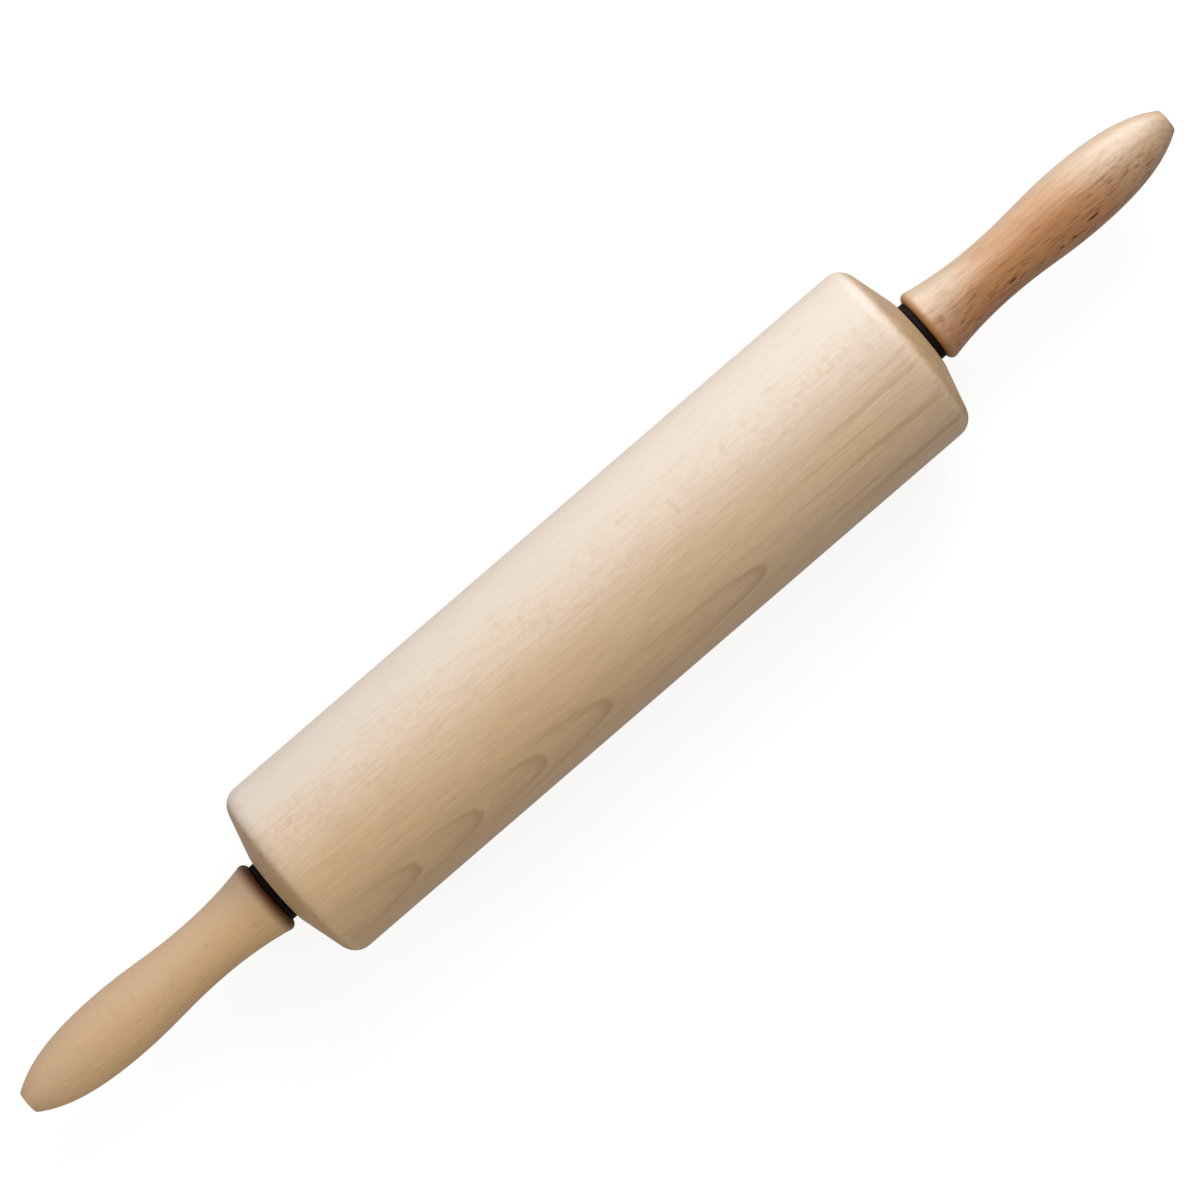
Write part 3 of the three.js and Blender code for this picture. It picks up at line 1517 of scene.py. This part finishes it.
@dataclass
class Bearing:
    """One sealed ball bearing."""

    side: Side
    pitch_radius: float = 6.8 * MM
    race_radius: float = 1.65 * MM
    shoulder_offset: float = 0.9 * MM
    hole_radius: float = 4.1 * MM
    lip_round: float = 0.15 * MM
    seal_seat: float = 8.3 * MM
    seal_ledge: float = 0.65 * MM
    seal_gap: float = 0.3 * MM
    seal_channel: float = 0.1 * MM
    seal_bead: float = 0.22
    seal_lip: float = 0.24
    seal_slope: float = 0.1
    ball_count: int = 7
    race_parts: int = 10
    steps: int = 96
    ball_parts: int = 16
    ball_steps: int = 32

    def node(self, piece: str) -> str:
        """The name of one of the bearing's CAD nodes."""
        return f"bearing_{self.side.label}_{piece}"

    @property
    def cage_body(self) -> Body:
        """The body of the cage and its balls."""
        return Body.LEFT_CAGE if self.side is Side.LEFT else Body.RIGHT_CAGE

    @property
    def lip_angle(self) -> float:
        """The angle at which each race meets its shoulder, in degrees."""
        return math.degrees(math.asin(self.shoulder_offset / self.race_radius))

    def outer_ring(self) -> Outline:
        """Draws the outer ring.

        Returns:
            Its outline about the bearing's middle, with its race and the ledges of its seals.
        """
        half_width = half_span(self.node("outer_ring"), 0)
        radius = half_span(self.node("outer_ring"), 2)
        half = Outline([(half_width - self.lip_round, radius)]).to(half_width, radius - self.lip_round)
        half.to(half_width, self.seal_seat)
        half.to(half_width - self.seal_ledge, self.seal_seat)
        half.to(half_width - self.seal_ledge, self.pitch_radius + self.shoulder_offset)
        half.arc((0.0, self.pitch_radius), self.race_radius, self.lip_angle, 90, self.race_parts)
        return half.ring()

    def inner_ring(self) -> Outline:
        """Draws the inner ring.

        Returns:
            Its outline about the bearing's middle, with its race.
        """
        half_width = half_span(self.node("inner_ring"), 0)
        shoulder = self.pitch_radius - self.shoulder_offset
        pitch = (0.0, self.pitch_radius)
        half = Outline().arc(pitch, self.race_radius, -90, -self.lip_angle, self.race_parts)
        half.to(half_width - self.lip_round, shoulder)
        half.to(half_width, shoulder - self.lip_round)
        half.to(half_width, self.hole_radius)
        return half.ring()

    def seal(self, node: str) -> Outline:
        """Draws a seal: a washer with a bead round its edge, a channel in each face and a lip at its hole.

        Args:
            node: The CAD node that it stands for.

        Returns:
            Its outline about its own middle.
        """
        face = half_span(node, 0)
        bed = face - self.seal_channel
        outer = half_span(node, 2)
        inner = self.pitch_radius - self.shoulder_offset + self.seal_gap
        width = outer - inner
        half = Outline([(0.0, outer)]).to(bed, outer)
        half.to(face, outer - self.seal_channel)
        half.to(face, outer - self.seal_bead * width)
        half.to(bed, outer - (self.seal_bead + self.seal_slope) * width)
        half.to(bed, inner + (self.seal_lip + self.seal_slope) * width)
        half.to(face, inner + self.seal_lip * width)
        half.to(face, inner + self.seal_channel)
        half.to(bed, inner)
        half.to(0.0, inner)
        return half.ring()

    def balls(self) -> dict[str, bpy.types.Object]:
        """Turns one ball and copies it to every place in the cage.

        Returns:
            The balls by the CAD nodes that they stand for.
        """
        first, *others = (self.node(f"ball_{number}") for number in range(1, self.ball_count + 1))
        radius = max(half_span(first, axis) for axis in range(3))
        half_circle = Outline().arc((0.0, 0.0), radius, 180, 0, self.ball_parts)
        pieces = {first: turned(f"{first}_polished", half_circle, self.ball_steps)}
        for node in others:
            pieces[node] = copied(pieces[first], f"{node}_polished")
        for node, piece in pieces.items():
            shift(piece, middle_of(node))
        return pieces

    def build(self, finishes: dict[Slot, bpy.types.Material]) -> None:
        """Makes the bearing's pieces and dresses them.

        Args:
            finishes: The materials by slot.
        """
        rings = {
            "outer_ring": (self.outer_ring(), Body.BARREL),
            "inner_ring": (self.inner_ring(), Body.AXLE),
        }
        for name, (outline, body) in rings.items():
            node = self.node(name)
            piece = turned(f"{node}_ground", outline.moved(middle_of(node)[0]), self.steps)
            dress(piece, finishes[Slot.RING], body, node)
        for name in ("seal_outboard", "seal_inboard"):
            node = self.node(name)
            piece = turned(f"{node}_washer", self.seal(node).moved(middle_of(node)[0]), self.steps)
            dress(piece, finishes[Slot.SEAL], Body.BARREL, node)
        for node, piece in self.balls().items():
            dress(piece, finishes[Slot.BALL], self.cage_body, node)
        finish_node(self.node("cage"), finishes[Slot.CAGE])


@dataclass(frozen=True)
class Panel:
    """A soft light panel that faces the pin's middle."""

    name: str
    direction: Triple
    distance: float
    size: Point
    power: float

    def build(self) -> None:
        """Hangs the panel."""
        place = Vector(self.direction).normalized() * self.distance
        bpy.ops.object.light_add(type="AREA", location=place)
        lamp = bpy.context.active_object
        lamp.name = self.name
        lamp.rotation_euler = place.to_track_quat("Z", "Y").to_euler()
        lamp.data.shape = "RECTANGLE"
        lamp.data.size, lamp.data.size_y = self.size
        lamp.data.energy = self.power


@dataclass
class Studio:
    """A white floor under the pin, three light panels, a soft sky and the camera above."""

    floor_size: float = 60.0
    floor_glow: float = 0.85
    floor_colour: Colour = (0.2, 0.2, 0.2)
    white: Colour = (1.0, 1.0, 1.0)
    sky: float = 0.5
    ground: float = 0.36
    horizon: float = 0.3
    panels: tuple[Panel, ...] = (
        Panel("key_light", (0.50, 0.51, 0.70), 0.8, (0.55, 0.55), 3.7),
        Panel("side_light", (0.60, 0.80, 0.10), 1.1, (0.7, 0.4), 6.6),
        Panel("left_fill", (-0.85, 0.2, 0.45), 1.0, (0.5, 0.5), 1.8),
    )
    camera_height: float = 1.55
    camera_roll: float = 40.8
    camera_aim: Point = (2.7 * MM, 2.0 * MM)
    picture_width: float = 347.1 * MM

    def floor(self) -> None:
        """Lays the floor at the barrel's lowest line."""
        bpy.ops.object.select_all(action="DESELECT")
        bpy.ops.mesh.primitive_plane_add(size=self.floor_size, location=(0.0, 0.0, CAD_BOX[0][2]))
        plane = bpy.context.active_object
        plane.name = "studio_floor"
        paint = NodeSheet("studio_white").principled(
            Base_Color=(*self.floor_colour, 1.0),
            Roughness=1.0,
            Emission_Color=(*self.white, 1.0),
            Emission_Strength=self.floor_glow,
        )
        plane.data.materials.append(paint)
        plane.visible_glossy = False
        plane.visible_diffuse = False

    def lights(self) -> None:
        """Hangs the light panels and a sky that is darker below the horizon."""
        for panel in self.panels:
            panel.build()
        world = bpy.data.worlds.new("studio_sky")
        world.use_nodes = True
        tree = world.node_tree
        coordinates = tree.nodes.new("ShaderNodeTexCoord")
        split = tree.nodes.new("ShaderNodeSeparateXYZ")
        blend = tree.nodes.new("ShaderNodeMapRange")
        blend.interpolation_type = "SMOOTHSTEP"
        blend.inputs["From Min"].default_value = -self.horizon
        blend.inputs["From Max"].default_value = self.horizon
        blend.inputs["To Min"].default_value = self.ground
        blend.inputs["To Max"].default_value = self.sky
        background = tree.nodes["Background"]
        background.inputs["Color"].default_value = (*self.white, 1.0)
        tree.links.new(coordinates.outputs["Generated"], split.inputs[0])
        tree.links.new(split.outputs["Z"], blend.inputs["Value"])
        tree.links.new(blend.outputs["Result"], background.inputs["Strength"])
        bpy.context.scene.world = world

    def camera(self) -> None:
        """Hangs the camera straight above the pin, turned so that the axle rises to the right."""
        place = (*self.camera_aim, self.camera_height)
        bpy.ops.object.camera_add(location=place, rotation=(0.0, 0.0, -math.radians(self.camera_roll)))
        camera = bpy.context.active_object
        camera.name = "photo_camera"
        camera.data.lens = camera.data.sensor_width * self.camera_height / self.picture_width
        bpy.context.scene.camera = camera

    def build(self) -> None:
        """Makes the whole studio."""
        self.camera()
        self.floor()
        self.lights()
        bpy.context.scene.view_settings.view_transform = "Standard"


HANDLE_START = reach_along("handle_right")[0] / MM

BARREL_LATE_WOOD = (0.38, 0.21, 0.10)
BARREL_FLECKS = (0.50, 0.33, 0.20)
BARREL_BEECH = Beech(
    name="oiled_beech",
    # Pale side: the wood's pale tone, lightened as painted sheen where it faces the lamps.
    pale=(0.70, 0.63, 0.555),
    warm=(0.71, 0.465, 0.245),
    board=Board(
        flat_turn=46.5,
        pith_distance=60,
        pith_tilt=-0.0217,
        warm_span=(-2, 36),
        warm_drift=0.04,
        under_depth=22,
        curl=4.5,
    ),
    layers=(
        Grain((0.50, 0.325, 0.185), strength=1.2),
        Streaks(BARREL_LATE_WOOD, strength=0.45, width=1.9, span=(35, 100)),
        Arches(
            BARREL_LATE_WOOD,
            arches=(
                Arch(150, 0.056),
                Arch(44, 0.14),
                Arch(-14.5, 0.067),
                Arch(-39, 0.067),
                Arch(-63, 0.067),
                Arch(-86.5, 0.067),
            ),
        ),
        Flecks(BARREL_FLECKS),
        Flakes(BARREL_FLECKS, strength=0.3),
        EndGrain((0.385, 0.228, 0.098), span=(0.45, 0.85), strength=0.8),
    ),
)

RIGHT_HANDLE_FLECKS = (0.25, 0.088, 0.026)
RIGHT_HANDLE_BEECH = Beech(
    name="waxed_beech",
    # Pale side: paler and greyer as painted sheen on the upper side, over the wood's own tone.
    pale=(0.62, 0.50, 0.36),
    warm=(0.49, 0.215, 0.062),
    board=Board(
        flat_turn=60,
        pith_distance=45,
        pith_tilt=0.03,
        warm_span=(-11, 7),
        # Pale ends: painted highlight on the handle's base and nose.
        painted_highlight_ends=(163, 38, 8.5),
    ),
    layers=(
        Grain((0.33, 0.13, 0.038), strength=1.5),
        Streaks((0.40, 0.16, 0.055), strength=0.5, width=1.6, span=(100, 110)),
        Flecks(RIGHT_HANDLE_FLECKS, strength=0.35, rays=Rays(8.0, 0.7, 6.0, share=0.7)),
        Dashes(RIGHT_HANDLE_FLECKS, span=(1.5, 9.5)),
        EndGrain((0.34, 0.18, 0.08)),
        # Painted shade on the rim: an orange band where the rounded rim faces the roller and takes its warm
        # bounce light.
        RimShade((0.46, 0.20, 0.06), width=3.2, strength=0.85, place=HANDLE_START),
        PinMark((182.3, -7.28, 8.29), half_length=2.8, half_width=0.6),
        PinMark((174.5, -8.06, 7.17), half_length=1.0, half_width=0.5),
        PinMark((169.9, -8.0, 6.79), half_length=1.2, half_width=0.45),
        PinMark((152.7, -6.05, 7.34), half_length=2.0, half_width=0.5),
    ),
    coat=0.74,
    coat_roughness=0.42,
)

LEFT_HANDLE_BEECH = Beech(
    name="plain_beech",
    # Pale side: darker than the warm side, as painted shade standing in for the roller's shadow.
    pale=(0.51, 0.36, 0.24),
    warm=(0.79, 0.485, 0.23),
    board=Board(flat_turn=90, pith_distance=70, pith_tilt=0.02, warm_span=(-12, 12)),
    layers=(
        Grain((0.52, 0.335, 0.18), ring_strength=0.3),
        Flecks((0.46, 0.28, 0.15), strength=0.42, rays=Rays(3.6, 0.6, 7.0)),
        EndGrain((0.42, 0.26, 0.14)),
        # Painted shadow of the roller, dark at the collar and fading along the handle.
        RimShade((0.115, 0.028, 0.002), width=4.6, strength=0.9, place=HANDLE_START),
    ),
    roughness=0.55,
)

COLLAR_NYLON = Polymer("black_nylon", (0.004, 0.003, 0.003), (0.010, 0.007, 0.006), 0.75, 0.15)
CAGE_NYLON = Polymer("natural_nylon", (0.70, 0.66, 0.54), (0.58, 0.54, 0.43), 0.5)
SEAL_RUBBER = Polymer("seal_rubber", (0.016, 0.015, 0.015), (0.03, 0.028, 0.027), 0.75)
AXLE_STEEL = Metal("drawn_steel", (0.52, 0.53, 0.55), 0.32)
RING_STEEL = Metal("ground_steel", (0.50, 0.51, 0.53), 0.25)
BALL_STEEL = Metal("polished_steel", (0.60, 0.61, 0.63), 0.08)


def main() -> None:
    """Builds the studio and every sub-assembly of the pin."""
    logging.basicConfig(level=logging.INFO, format="%(name)s: %(message)s")
    Studio().build()
    Barrel().build(BARREL_BEECH.material())
    Axle().build(AXLE_STEEL.material())
    nylon = COLLAR_NYLON.material()
    finishes = {
        Slot.RING: RING_STEEL.material(),
        Slot.BALL: BALL_STEEL.material(),
        Slot.CAGE: CAGE_NYLON.material(),
        Slot.SEAL: SEAL_RUBBER.material(),
    }
    handle_woods = {Side.LEFT: LEFT_HANDLE_BEECH, Side.RIGHT: RIGHT_HANDLE_BEECH}
    for side, wood in handle_woods.items():
        Handle(side).build(wood.material())
        DustCollar(side).build(nylon)
        Bearing(side).build(finishes)


if __name__ == "__main__":
    main()
